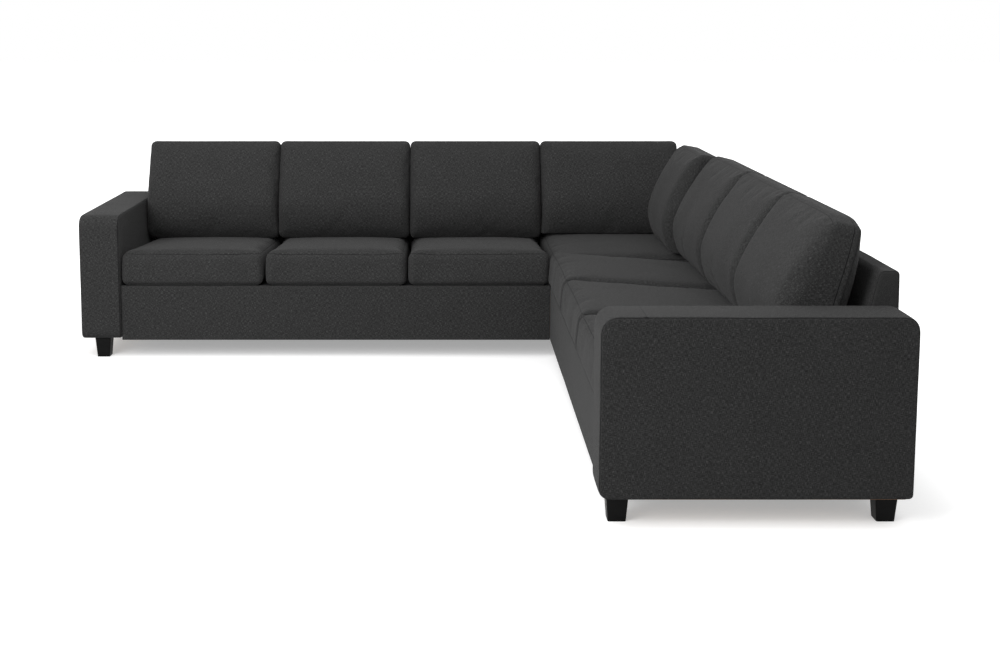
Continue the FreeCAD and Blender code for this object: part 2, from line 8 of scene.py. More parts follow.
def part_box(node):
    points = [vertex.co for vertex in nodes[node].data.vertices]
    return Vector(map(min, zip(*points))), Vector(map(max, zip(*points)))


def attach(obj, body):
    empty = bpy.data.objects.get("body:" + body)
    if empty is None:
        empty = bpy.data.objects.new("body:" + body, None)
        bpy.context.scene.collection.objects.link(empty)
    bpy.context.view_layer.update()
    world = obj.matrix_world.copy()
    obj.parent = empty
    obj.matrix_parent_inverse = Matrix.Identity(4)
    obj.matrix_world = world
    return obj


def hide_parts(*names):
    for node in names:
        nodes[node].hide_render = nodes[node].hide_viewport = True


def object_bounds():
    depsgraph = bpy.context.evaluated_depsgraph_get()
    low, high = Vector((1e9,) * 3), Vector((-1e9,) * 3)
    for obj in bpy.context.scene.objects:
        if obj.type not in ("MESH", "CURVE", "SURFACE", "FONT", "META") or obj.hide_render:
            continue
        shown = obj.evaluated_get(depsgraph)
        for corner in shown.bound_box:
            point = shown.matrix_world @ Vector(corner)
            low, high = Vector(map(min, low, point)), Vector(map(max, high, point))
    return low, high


# The corner sofa's looks, laid over its packed construction. Everything is in metres.
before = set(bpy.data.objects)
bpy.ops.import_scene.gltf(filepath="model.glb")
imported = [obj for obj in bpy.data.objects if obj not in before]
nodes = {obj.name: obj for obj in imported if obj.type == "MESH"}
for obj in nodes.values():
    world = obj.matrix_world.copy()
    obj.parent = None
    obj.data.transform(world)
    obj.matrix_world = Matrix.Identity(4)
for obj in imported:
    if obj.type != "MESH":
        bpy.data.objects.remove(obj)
scene = bpy.context.scene
cad_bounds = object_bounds()
MM = 0.001
WINGS = ("left", "right")


# Timber frames
# Planed pine boards, glued and stapled into boxes, with plywood ribs in the backs. They stay
# bare, since cloth hides them from all sides, and show only when cushions are lifted.


def colour(code):
    """A colour written as sRGB hex, in the linear values that a shader works in."""
    parts = [int(code[n:n + 2], 16) / 255 for n in (1, 3, 5)]
    linear = [p / 12.92 if p <= 0.04045 else ((p + 0.055) / 1.055) ** 2.4 for p in parts]
    return (*linear, 1.0)


def add(tree, kind, settings, inputs):
    """One node of a tree with its settings, its input values and its links."""
    node = tree.nodes.new(kind)
    for name, value in settings.items():
        setattr(node, name, value)
    for name, value in inputs.items():
        if isinstance(value, bpy.types.NodeSocket):
            tree.links.new(value, node.inputs[name])
        else:
            node.inputs[name].default_value = value
    return node


def start_material(name):
    """An empty material, its tree and its main shader."""
    material = bpy.data.materials.new(name)
    material.use_nodes = True
    return material, material.node_tree, material.node_tree.nodes["Principled BSDF"]


def object_place(tree):
    """The place of a point on its piece, in metres."""
    return add(tree, "ShaderNodeTexCoord", {}, {}).outputs["Object"]


def join(tree, source, shader, socket):
    tree.links.new(source, shader.inputs[socket])


def steps(tree, factor, stops):
    """A colour ramp with a (place, hex colour) for each stop."""
    ramp = add(tree, "ShaderNodeValToRGB", {}, {"Fac": factor})
    while len(ramp.color_ramp.elements) < len(stops):
        ramp.color_ramp.elements.new(0.5)
    for element, (place, code) in zip(ramp.color_ramp.elements, stops):
        element.position = place
        element.color = colour(code)
    return ramp.outputs["Color"]


def streaks(tree, vector, sizes, detail=2.0):
    """Soft noise whose grains have the given sizes, in metres, along the three axes."""
    scaled = add(tree, "ShaderNodeMapping", {}, {"Vector": vector, "Scale": [1 / s for s in sizes]})
    return add(tree, "ShaderNodeTexNoise", {}, {
        "Vector": scaled.outputs["Vector"],
        "Scale": 1.0,
        "Detail": detail,
    }).outputs["Fac"]


def raise_by(tree, shader, height, strength, distance):
    """Fine relief on a surface: `distance` is how high a height of 1 stands."""
    bump = add(tree, "ShaderNodeBump", {}, {
        "Height": height,
        "Strength": strength,
        "Distance": distance,
    })
    join(tree, bump.outputs["Normal"], shader, "Normal")


def dress(names, material):
    """Give CAD nodes a better material. Their shape stays."""
    for name in names:
        nodes[name].material_slots[0].material = material


# Planed softwood: pale, matt, with grain lines along each board and a darker late growth.
pine, tree, shader = start_material("planed_pine")
here = object_place(tree)
PINE_GRAIN = (260 * MM, 260 * MM, 5 * MM)
PINE_TONES = [(0.3, "#a97e4c"), (0.5, "#cfa874"), (0.72, "#e0c193")]
PINE_RELIEF = 0.4 * MM
grain = streaks(tree, here, PINE_GRAIN, 4.0)
join(tree, steps(tree, grain, PINE_TONES), shader, "Base Color")
raise_by(tree, shader, grain, 0.25, PINE_RELIEF)
shader.inputs["Roughness"].default_value = 0.62
dress([n for n in nodes if n.endswith("_frame") or "_frame_" in n], pine)

# Hardboard: hot pressed wood fibre, brown, smooth on one side, with fine flecks.
hardboard, tree, shader = start_material("pressed_hardboard")
here = object_place(tree)
FIBRE = (3 * MM, 3 * MM, 3 * MM)
FIBRE_TONES = [(0.3, "#5f3f26"), (0.55, "#7b5636"), (0.75, "#936b47")]
FIBRE_RELIEF = 0.2 * MM
fibres = streaks(tree, here, FIBRE, 3.0)
join(tree, steps(tree, fibres, FIBRE_TONES), shader, "Base Color")
raise_by(tree, shader, fibres, 0.2, FIBRE_RELIEF)
shader.inputs["Roughness"].default_value = 0.5
dress(["left_arm_side_boards", "right_arm_side_boards"], hardboard)


# Bolts and nuts
# Zinc plated steel: the arms and the three sections are bolted together, and a stud stands
# in every foot and leg.

zinc_steel, tree, shader = start_material("zinc_plated_steel")
here = object_place(tree)
SPANGLE = (4 * MM, 4 * MM, 4 * MM)
SPANGLE_TONES = [(0.3, "#a9adb0"), (0.7, "#cfd2d2")]
SPANGLE_RELIEF = 0.1 * MM
spangle = streaks(tree, here, SPANGLE, 3.0)
join(tree, steps(tree, spangle, SPANGLE_TONES), shader, "Base Color")
rough = add(tree, "ShaderNodeMapRange", {}, {"Value": spangle, "To Min": 0.28, "To Max": 0.42})
join(tree, rough.outputs["Result"], shader, "Roughness")
raise_by(tree, shader, spangle, 0.1, SPANGLE_RELIEF)
shader.inputs["Metallic"].default_value = 1.0
dress([n for n in nodes if n.endswith("_bolts") or n.endswith("_nuts")], zinc_steel)


# Feet and support legs
# Moulded ABS, satin black: four tapered square blocks under the arms, and plain round legs
# out of sight under the frames. A fine moulded grain, a little rubbed with use.

abs_black, tree, shader = start_material("moulded_black_abs")
here = object_place(tree)
MOULD_GRAIN = (1.2 * MM, 1.2 * MM, 1.2 * MM)
MOULD_RELIEF = 0.15 * MM
RUB = (35 * MM, 35 * MM, 12 * MM)
ABS_TONES = [(0.35, "#060606"), (0.75, "#0d0d0d")]
fine = streaks(tree, here, MOULD_GRAIN)
rub = streaks(tree, here, RUB, 4.0)
join(tree, steps(tree, rub, ABS_TONES), shader, "Base Color")
rough = add(tree, "ShaderNodeMapRange", {}, {"Value": rub, "To Min": 0.36, "To Max": 0.55})
join(tree, rough.outputs["Result"], shader, "Roughness")
raise_by(tree, shader, fine, 0.25, MOULD_RELIEF)
shader.inputs["IOR"].default_value = 1.53
shader.inputs["Specular IOR Level"].default_value = 0.08
feet = [side + "_arm_" + end + "_foot" for side in WINGS for end in ("front", "rear")]
dress(feet + ["support_legs"], abs_black)


# Seat webbing
# Woven elastic straps, 60 mm wide, stretched from the front board of each frame to its rear
# board, five under each seat. Rubber threads in a polypropylene weave with ribs across.

STRAP_WIDTH = 60 * MM
STRAP_THICK = 2 * MM
STRAPS_PER_SEAT = 5
SEATS_PER_WING = 3
LINES_ACROSS = 5
LINES_ALONG = 24


def compute(tree, operation, *values):
    """A math node: its operation on two or three numbers or links."""
    inputs = dict(enumerate(values))
    return add(tree, "ShaderNodeMath", {"operation": operation}, inputs).outputs[0]


def bands(tree, vector, axis, pitch, distortion):
    """Soft bands across an axis. At a scale of 1, a wave texture repeats every pi / 10."""
    return add(tree, "ShaderNodeTexWave", {"bands_direction": axis}, {
        "Vector": vector,
        "Scale": math.pi / (10 * pitch),
        "Distortion": distortion,
        "Detail": 1.0,
    }).outputs["Fac"]


webbing, tree, shader = start_material("woven_elastic_webbing")
here = object_place(tree)
RIB_PITCH = 2.6 * MM
RIB_TONES = [(0.1, "#232325"), (0.8, "#56534e")]
RIB_RELIEF = 0.5 * MM
ribs = [bands(tree, here, axis, RIB_PITCH, 0.6) for axis in ("X", "Y")]
crossed = compute(tree, "MULTIPLY", *ribs)
join(tree, steps(tree, crossed, RIB_TONES), shader, "Base Color")
raise_by(tree, shader, crossed, 0.5, RIB_RELIEF)
shader.inputs["Roughness"].default_value = 0.85


def strap_tree():
    """Geometry nodes that lay equal straps side by side."""
    made = bpy.data.node_groups.new("strap_row", "GeometryNodeTree")
    face = made.interface
    for name, kind, value in (
        ("Straps", "NodeSocketInt", STRAPS_PER_SEAT),
        ("Pitch", "NodeSocketFloat", 2 * STRAP_WIDTH),
        ("Width", "NodeSocketFloat", STRAP_WIDTH),
        ("Length", "NodeSocketFloat", 10 * STRAP_WIDTH),
        ("Thickness", "NodeSocketFloat", STRAP_THICK),
        ("Material", "NodeSocketMaterial", webbing),
    ):
        face.new_socket(name, in_out="INPUT", socket_type=kind).default_value = value
    face.new_socket("Geometry", in_out="OUTPUT", socket_type="NodeSocketGeometry")
    given = made.nodes.new("NodeGroupInput").outputs
    size = add(made, "ShaderNodeCombineXYZ", {}, {
        "X": given["Width"],
        "Y": given["Length"],
        "Z": given["Thickness"],
    })
    step = add(made, "ShaderNodeCombineXYZ", {}, {"X": given["Pitch"]})
    strap = add(made, "GeometryNodeMeshCube", {}, {
        "Size": size.outputs[0],
        "Vertices X": LINES_ACROSS,
        "Vertices Y": LINES_ALONG,
    })
    row = add(made, "GeometryNodeMeshLine", {}, {
        "Count": given["Straps"],
        "Offset": step.outputs[0],
    })
    laid = add(made, "GeometryNodeInstanceOnPoints", {}, {
        "Points": row.outputs["Mesh"],
        "Instance": strap.outputs["Mesh"],
    })
    real = add(made, "GeometryNodeRealizeInstances", {}, {"Geometry": laid.outputs["Instances"]})
    dressed = add(made, "GeometryNodeSetMaterial", {}, {
        "Geometry": real.outputs["Geometry"],
        "Material": given["Material"],
    })
    out = made.nodes.new("NodeGroupOutput")
    made.links.new(dressed.outputs["Geometry"], out.inputs["Geometry"])
    return made


def from_nodes(name, made, values):
    """Run a geometry node tree with the given inputs and keep the result as a plain mesh."""
    piece = bpy.data.objects.new(name, bpy.data.meshes.new(name))
    scene.collection.objects.link(piece)
    modifier = piece.modifiers.new("made", "NODES")
    modifier.node_group = made
    for socket in made.interface.items_tree:
        if socket.in_out == "INPUT" and socket.name in values:
            modifier[socket.identifier] = values[socket.name]
    evaluated = piece.evaluated_get(bpy.context.evaluated_depsgraph_get())
    mesh = bpy.data.meshes.new_from_object(evaluated)
    piece.modifiers.remove(modifier)
    piece.data = mesh
    return piece


def points_of(piece):
    """The places of a piece's points, one row for each."""
    points = np.empty(len(piece.data.vertices) * 3, np.float32)
    piece.data.vertices.foreach_get("co", points)
    return points.reshape(-1, 3).astype(float)


def put_points(piece, points):
    """Move a piece's points to new places."""
    piece.data.vertices.foreach_set("co", points.astype(np.float32).ravel())
    piece.data.update()


def fit_to(points, node, grow=0.0):
    """Move and stretch points a little, to fill a CAD node's box, grown by `grow` all round."""
    low, high = (np.array(c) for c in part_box(node))
    low, high = low - grow, high + grow
    here_low, here_high = points.min(0), points.max(0)
    return low + (points - here_low) / (here_high - here_low) * (high - low)


SEAT_SLOPE = math.radians(4.5)
strap_row = strap_tree()
for side in ("left", "right", "corner"):
    node = side + "_seat_webbing"
    low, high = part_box(node)
    size = high - low
    across, depth = (size.y, size.x) if side == "right" else (size.x, size.y)
    straps = STRAPS_PER_SEAT * (1 if side == "corner" else SEATS_PER_WING)
    piece = from_nodes(side + "_webbing_straps", strap_row, {
        "Straps": straps,
        "Pitch": (across - STRAP_WIDTH) / (straps - 1),
        "Length": depth,
    })
    flat = points_of(piece)
    if side != "corner":
        flat[:, 2] -= flat[:, 1] * math.tan(SEAT_SLOPE)
    if side == "right":
        flat = flat[:, [1, 0, 2]]
        piece.data.flip_normals()
    put_points(piece, fit_to(flat, node))
    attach(piece, "base")
    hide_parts(node)


# Deck cloths and dust covers
# Black spunbonded polypropylene: a sheet stapled over the straps under the seat cushions, and
# another stapled under the frame. A small embossed dot pattern, soft slack between staples.

spunbond, tree, shader = start_material("spunbonded_polypropylene")
here = object_place(tree)
EMBOSS = 2.4 * MM
EMBOSS_RELIEF = 0.4 * MM
CREASE = (60 * MM, 60 * MM, 60 * MM)
CREASE_TONES = [(0.35, "#141416"), (0.7, "#242427")]
dots = add(tree, "ShaderNodeTexVoronoi", {}, {
    "Vector": here,
    "Scale": 1 / EMBOSS,
    "Randomness": 0.15,
})
creases = streaks(tree, here, CREASE, 4.0)
join(tree, steps(tree, creases, CREASE_TONES), shader, "Base Color")
raise_by(tree, shader, dots.outputs["Distance"], 0.5, EMBOSS_RELIEF)
shader.inputs["Roughness"].default_value = 0.8

SHEET_CELL = 30 * MM
SLACK = 0.6 * MM


def slack_sheet(name, node, slope):
    """A sheet in a CAD cloth's box: it slopes down along the axis `slope`, or lies level."""
    low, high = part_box(node)
    size = high - low
    counts = [max(2, round(size[a] / SHEET_CELL)) for a in (0, 1)]
    shares = [np.linspace(0, 1, c + 1) for c in counts]
    u, v = (g.ravel() for g in np.meshgrid(*shares, indexing="ij"))
    points = np.stack([low.x + u * size.x, low.y + v * size.y, np.full(u.shape, high.z)], 1)
    if slope is None:
        points[:, 2] = (low.z + high.z) / 2
    else:
        points[:, 2] -= (u, v)[slope] * (size.z - STRAP_THICK)
    points[:, 2] -= SLACK * np.abs(np.sin(u * counts[0]) * np.sin(v * counts[1]))
    rows = counts[1] + 1
    cell = (np.arange(counts[0])[:, None] * rows + np.arange(counts[1])[None, :]).ravel()
    faces = np.stack([cell, cell + rows, cell + rows + 1, cell + 1], 1)
    mesh = bpy.data.meshes.new(name)
    mesh.from_pydata(points.tolist(), [], faces.tolist())
    mesh.shade_smooth()
    mesh.materials.append(spunbond)
    piece = bpy.data.objects.new(name, mesh)
    scene.collection.objects.link(piece)
    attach(piece, "base")
    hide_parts(node)
    return piece, (size.x, size.y)


for side, slope in (("left", 1), ("right", 0), ("corner", None)):
    deck, flat_size = slack_sheet(side + "_deck_sheet", side + "_deck_cloth", slope)
    dust, flat_size = slack_sheet(side + "_dust_sheet", side + "_dust_cover", None)


# Arms
# A thin foam pad over boards, in charcoal melange cloth. A long band runs over the front, the
# top and the rear, sewn to a panel on each side. The band has a join on top, near the front.

# Melange upholstery cloth: polyester yarn spun from black, grey and pale fibres, in a flat
# basket weave. It scatters light softly, with a faint nap. Pale slubs run along both yarns.
melange, tree, shader = start_material("charcoal_melange_weave")
YARN = 1.2 * MM
SLUB_RUN = 11 * MM
CLOUD = 90 * MM
SPECK_SHARE = 0.3
CLOUD_SHARE = 0.07
DARKEST_AT = 0.72
PALEST_AT = 1.60
YARN_TONES = [
    (0.0, "#151515"),
    (0.3, "#212121"),
    (0.55, "#303030"),
    (0.8, "#474747"),
    (1.0, "#606060"),
]
cloth_uv = add(tree, "ShaderNodeUVMap", {"uv_map": "cloth"}, {}).outputs["UV"]
warp = streaks(tree, cloth_uv, (YARN, SLUB_RUN, 1.0), 1.5)
weft = streaks(tree, cloth_uv, (SLUB_RUN, YARN, 1.0), 1.5)
speck = streaks(tree, cloth_uv, (YARN, YARN, 1.0), 1.0)
cloud = streaks(tree, cloth_uv, (CLOUD, CLOUD, 1.0), 3.0)
threads = compute(tree, "ADD", warp, weft)
flecks = compute(tree, "MULTIPLY_ADD", speck, SPECK_SHARE, threads)
clouded = compute(tree, "MULTIPLY_ADD", cloud, CLOUD_SHARE, flecks)
tone = add(tree, "ShaderNodeMapRange", {}, {
    "Value": clouded,
    "From Min": DARKEST_AT,
    "From Max": PALEST_AT,
})
yarn_colour = steps(tree, tone.outputs["Result"], YARN_TONES)

# The ditch of a seam: a dark line of painted shade where two panels meet, and small puckers beside
# it.
DITCH_CORE = 0.6 * MM
DITCH = 2.0 * MM
DITCH_SHADE_TONE = "#0c0c0d"
PUCKER = 9 * MM
PUCKER_REACH = 14 * MM
seam_distance = add(tree, "ShaderNodeAttribute", {"attribute_name": "seam"}, {}).outputs["Fac"]
open_cloth = add(tree, "ShaderNodeMapRange", {"interpolation_type": "SMOOTHSTEP"}, {
    "Value": seam_distance,
    "From Min": DITCH_CORE,
    "From Max": DITCH,
}).outputs["Result"]
# Painted shade: the cloth turns near black in the seam's ditch, where shade would fall.
shaded = add(tree, "ShaderNodeMix", {"data_type": "RGBA"}, {
    0: open_cloth,
    6: colour(DITCH_SHADE_TONE),
    7: yarn_colour,
})
join(tree, shaded.outputs[2], shader, "Base Color")
near_seam = add(tree, "ShaderNodeMapRange", {"interpolation_type": "SMOOTHSTEP"}, {
    "Value": seam_distance,
    "From Max": PUCKER_REACH,
    "To Min": 1.0,
    "To Max": 0.0,
}).outputs["Result"]
gathers = streaks(tree, cloth_uv, (PUCKER, PUCKER, 1.0), 1.0)
puckers = compute(tree, "MULTIPLY", near_seam, gathers)

# Relief: the flecks, puckers and ditches as shares of the weave's own height.
WEAVE_RELIEF = 0.3 * MM
FLECK_RISE = 0.2
PUCKER_RISE = 1.6
DITCH_DEPTH = 3.0
woven = compute(tree, "MULTIPLY", *(bands(tree, cloth_uv, axis, YARN, 0.8) for axis in ("X", "Y")))
relief = compute(tree, "MULTIPLY_ADD", flecks, FLECK_RISE, woven)
with_puckers = compute(tree, "MULTIPLY_ADD", puckers, PUCKER_RISE, relief)
with_ditch = compute(tree, "MULTIPLY_ADD", open_cloth, DITCH_DEPTH, with_puckers)
raise_by(tree, shader, with_ditch, 0.5, WEAVE_RELIEF)
shader.inputs["Roughness"].default_value = 0.9
shader.inputs["Specular IOR Level"].default_value = 0.15
shader.inputs["Sheen Weight"].default_value = 0.05
shader.inputs["Sheen Roughness"].default_value = 0.5

# The flat cloth, in metres: its far panel and strip lie apart from the near panel, and each
# piece is cut from one of several places. NO_SEAM stands for a point far from any seam.
FAR_PANEL_AT = 2.3
STRIP_AT = 5.1
CUT_PLACES = 17
CUT_PITCH = 0.37
NO_SEAM = 1.0
HAIR = 1e-9


def grid_lines(length, step, close):
    """Mesh lines from 0 to length: `close` gives the ones near each end, the rest are even."""
    inside = length - 2 * close[-1]
    even = close[-1] + inside * np.linspace(0, 1, max(2, round(inside / step) + 1))
    ends = np.array([0.0, *close[:-1]])
    return np.concatenate([ends, even, length - ends[::-1]])


def panel_box(lines, main):
    """A closed box of panels: two across the axis `main`, and one long strip round them.

    It gives the flat points, the faces, their places in the flat cloth, where the far panel
    and the strip lie apart, and each point's distance from the nearest seam."""
    p, q = (main + 1) % 3, (main + 2) % 3
    size = [axis_lines[-1] for axis_lines in lines]
    number, points, faces, cloth = {}, [], [], []

    def corner(index):
        if index not in number:
            number[index] = len(points)
            points.append([lines[a][index[a]] for a in range(3)])
        return number[index]

    def cloth_place(axis, end, at):
        if axis == main:
            return at[p], at[q] + end * FAR_PANEL_AT
        if axis == q:
            along = at[p] if end == 0 else size[p] * 2 + size[q] - at[p]
        else:
            along = size[p] + at[q] if end else 2 * (size[p] + size[q]) - at[q]
        return along, at[main] + STRIP_AT

    for axis in range(3):
        b, c = (axis + 1) % 3, (axis + 2) % 3
        for end in (0, 1):
            for i in range(len(lines[b]) - 1):
                for j in range(len(lines[c]) - 1):
                    turn = [(i, j), (i + 1, j), (i + 1, j + 1), (i, j + 1)]
                    face, places = [], []
                    for m, n in turn if end else reversed(turn):
                        index = [0, 0, 0]
                        index[axis] = end * (len(lines[axis]) - 1)
                        index[b], index[c] = m, n
                        face.append(corner(tuple(index)))
                        places.append(cloth_place(axis, end, points[face[-1]]))
                    faces.append(face)
                    cloth.append(places)
    points = np.array(points)
    to_sides = np.minimum(points, np.array(size) - points)
    on_panel = to_sides[:, main] < HAIR
    return {
        "points": points,
        "faces": np.array(faces),
        "cloth": np.array(cloth),
        "seam": np.where(on_panel, to_sides[:, [p, q]].min(1), to_sides[:, main]),
        "size": size,
        "main": main,
        "on_panel": on_panel,
    }


def round_off(box, corners, low_edge, high_edge):
    """Round the flat box. `corners` are the four radii seen along the main axis, as
    ((low p low q, high p low q), (low p high q, high p high q)). The edges are (reach, rise):
    how far a panel's rounding reaches in from its outline, and how far along the main axis."""
    main = box["main"]
    p, q = (main + 1) % 3, (main + 2) % 3
    points = box["points"].copy()
    size = box["size"]
    half = np.array([size[p], size[q]]) / 2
    plane = points[:, [p, q]] - half
    sign = np.where(plane >= 0, 1.0, -1.0)
    high = (plane >= 0).astype(int)
    radius = np.array(corners)[high[:, 1], high[:, 0]][:, None]
    core = half - radius
    over = np.clip((np.abs(plane) - core) / radius, 0, 1)
    bent = over * np.sqrt(1 - over[:, ::-1] ** 2 / 2)
    plane = sign * (np.minimum(np.abs(plane), core) + bent * radius)
    reach_out = np.abs(plane) - core
    outward = np.maximum(reach_out, 0)
    length = np.linalg.norm(outward, axis=1)
    inner = length < HAIR
    outward[inner] = np.eye(2)[np.argmax(reach_out[inner], 1)]
    outward /= np.linalg.norm(outward, axis=1)[:, None]
    inset = radius[:, 0] - np.where(inner, reach_out.max(1), length)
    outward *= sign
    along = points[:, main]
    moved = along.copy()
    for (reach, rise), distance, way in (
        (low_edge, along, 1.0),
        (high_edge, size[main] - along, -1.0),
    ):
        a = np.clip((rise - distance) / rise, 0, 1)
        b = np.clip((reach - inset) / reach, 0, 1)
        moved += way * rise * (a - a * np.sqrt(1 - b ** 2 / 2))
        plane -= outward * (reach * (b - b * np.sqrt(1 - a ** 2 / 2)))[:, None]
    points[:, main] = moved
    points[:, [p, q]] = plane + half
    out = np.zeros_like(points)
    out[:, [p, q]] = outward
    return points, out


def make_piece(name, box, points, mirror=False):
    """A mesh of the melange cloth from a panel box and its formed points. Each piece is cut
    from another place of the cloth. With `mirror`, it goes across the upright plane x = y."""
    faces, cloth = box["faces"], box["cloth"]
    if mirror:
        points = points[:, [1, 0, 2]]
        faces, cloth = faces[:, ::-1], cloth[:, ::-1]
    mesh = bpy.data.meshes.new(name)
    mesh.from_pydata(points.tolist(), [], faces.tolist())
    layer = mesh.uv_layers.new(name="cloth")
    cut_at = np.array([sum(map(ord, name)) % CUT_PLACES * CUT_PITCH, 0.0])
    layer.data.foreach_set("uv", (cloth.reshape(-1, 2) + cut_at).astype(np.float32).ravel())
    seam = mesh.attributes.new("seam", "FLOAT", "POINT")
    seam.data.foreach_set("value", box["seam"].astype(np.float32))
    mesh.shade_smooth()
    mesh.materials.append(melange)
    piece = bpy.data.objects.new(name, mesh)
    scene.collection.objects.link(piece)
    return piece


def finish_piece(piece, body, node):
    """One level of subdivision, then the piece takes its CAD node's place."""
    smooth = piece.modifiers.new("smooth", "SUBSURF")
    smooth.levels = 1
    smooth.render_levels = 1
    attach(piece, body)
    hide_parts(node)


SEED_STEP = Vector((7.3, 3.1, 1.7))


def uneven(points, out, height, grain, seed):
    """Small soft unevenness of a hand fitted cover, along the given outward directions."""
    rise = [noise.noise(Vector(point) / grain + seed * SEED_STEP) for point in points]
    return points + out * (np.array(rise) * height)[:, None]


ARM_FRONT_TOP = 50 * MM
ARM_REAR_TOP = 42 * MM
ARM_FRONT_LOW = 32 * MM
ARM_REAR_LOW = 14 * MM
ARM_EDGE = 8 * MM
ARM_CROWN = 1.5 * MM
BAND_FULLNESS = 0.7
PANEL_FLATNESS = 4
ARM_JOIN = 128 * MM
ARM_UNEVEN = 1.2 * MM
ARM_GRAIN = 110 * MM
ARM_STEP = 16 * MM
ARM_CLOSE = (4 * MM, 9 * MM, 16 * MM, 32 * MM)

for side in WINGS:
    node = side + "_arm_cover"
    low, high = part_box("left_arm_cover")
    size = high - low
    box = panel_box([
        grid_lines(size.x, ARM_STEP, ARM_CLOSE[:3]),
        grid_lines(size.y, ARM_STEP, ARM_CLOSE),
        grid_lines(size.z, ARM_STEP, ARM_CLOSE),
    ], main=0)
    corners = ((ARM_FRONT_LOW, ARM_REAR_LOW), (ARM_FRONT_TOP, ARM_REAR_TOP))
    points, out = round_off(box, corners, (ARM_EDGE, ARM_EDGE), (ARM_EDGE, ARM_EDGE))
    across = np.clip(box["points"][:, 0] / size.x, 0, 1)
    band = ~box["on_panel"]
    crown = ARM_CROWN * np.sin(math.pi * across[band]) ** BAND_FULLNESS
    points[band] += out[band] * crown[:, None]
    shares = [np.abs(2 * box["points"][:, a] / size[a] - 1) for a in (1, 2)]
    puffed = (1 - shares[0] ** PANEL_FLATNESS) * (1 - shares[1] ** PANEL_FLATNESS)
    points[:, 0] += np.where(band, 0, np.where(across > 0.5, 1, -1) * ARM_CROWN * puffed)
    on_top = band & (box["points"][:, 2] > size.z - HAIR)
    from_join = np.abs(box["points"][:, 1] - ARM_JOIN)
    box["seam"] = np.where(on_top, np.minimum(box["seam"], from_join), box["seam"])
    points = uneven(points, out, ARM_UNEVEN, ARM_GRAIN, 1 if side == "left" else 2)
    points = fit_to(points, "left_arm_cover")
    arm = make_piece(side + "_arm_upholstery", box, points, side == "right")
    finish_piece(arm, "base", node)


# Front rails
# The board under the seats, padded thinly and covered with the same cloth, drawn tight over
# a softly rounded top edge and stapled underneath.

RAIL_TOP_EDGE = 7.2 * MM
RAIL_LOW_EDGE = 5 * MM
RAIL_END = 1 * MM
RAIL_DENTS = 1.2 * MM
RAIL_FLATNESS = 8
RAIL_GRAIN = 140 * MM
RAIL_STEPS = (18 * MM, 3 * MM, 16 * MM)
RAIL_CLOSE = (
    (1 * MM, 4 * MM, 12 * MM),
    (2 * MM, 4 * MM),
    (2 * MM, 4 * MM, 8 * MM, 14 * MM),
)
FORWARD = np.array([0.0, -1.0, 0.0])

for side in WINGS:
    low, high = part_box("left_front_rail_cover")
    size = high - low
    lines = [grid_lines(size[a], RAIL_STEPS[a], RAIL_CLOSE[a]) for a in range(3)]
    box = panel_box(lines, main=0)
    corners = ((RAIL_LOW_EDGE, RAIL_END), (RAIL_TOP_EDGE, RAIL_END))
    points, out = round_off(box, corners, (RAIL_END, RAIL_END), (RAIL_END, RAIL_END))
    front = box["points"][:, 1] < HAIR
    along = np.abs(2 * box["points"][:, 0] / size.x - 1)
    dents = np.where(front, RAIL_DENTS * (1 - along ** RAIL_FLATNESS), 0)[:, None] * FORWARD
    flat = points[:, 1].copy()
    points = uneven(points, dents, 1.0, RAIL_GRAIN, 3 if side == "left" else 4)
    points[:, 1] = np.maximum(points[:, 1], flat)
    box["seam"] = np.full(len(points), NO_SEAM)
    points = fit_to(points, "left_front_rail_cover")
    rail = make_piece(side + "_rail_upholstery", box, points, side == "right")
    finish_piece(rail, "base", side + "_front_rail_cover")


# Backs
# A low wedge of plywood ribs and rails under a thin pad. The cloth is sewn at each end to an
# end panel, and its rear panel runs down to the underside. The two corner backs are mitred.

BACK_EDGE = 9 * MM
BACK_TOP_RADIUS = 14 * MM
BACK_LOW_RADIUS = 3 * MM
BACK_CROWN = 2.5 * MM
BACK_FLATNESS = 6
END_FULLNESS = 0.3
BACK_UNEVEN = 1.2 * MM
BACK_GRAIN = 160 * MM
BACK_SKIRT = 12 * MM
BACK_RAKE = math.tan(math.radians(15.0))
BACK_TOP_THICK = 65 * MM
BACK_FOOT_HEIGHT = 241 * MM
FOOT_LINES = 9
FOOT_STEP = 2 * MM
COVER_STEP = 18 * MM
COVER_CLOSE = (4 * MM, 9 * MM, 16 * MM)
DEPTH_STEP = 0.08
DEPTH_CLOSE = (0.03, 0.07, 0.14)
back_low, back_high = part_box("left_back_cover")


def back_front(z):
    """How far back from the middle of the sofa the front face of a back lies, at height z."""
    raked = back_high.y - BACK_TOP_THICK - (back_high.z - z) * BACK_RAKE
    return np.where(z < BACK_FOOT_HEIGHT, back_high.y - BACK_SKIRT, raked)


def back_box(length):
    """The panel box of a back, as deep as 1, with lines on both sides of its raked face's foot."""
    height = back_high.z - back_low.z
    foot = BACK_FOOT_HEIGHT - back_low.z
    upright = np.concatenate([
        np.linspace(0, foot - FOOT_STEP, FOOT_LINES),
        foot + grid_lines(height - foot, COVER_STEP, COVER_CLOSE),
    ])
    return panel_box([
        grid_lines(length, COVER_STEP, COVER_CLOSE),
        grid_lines(1.0, DEPTH_STEP, DEPTH_CLOSE),
        upright,
    ], main=0)


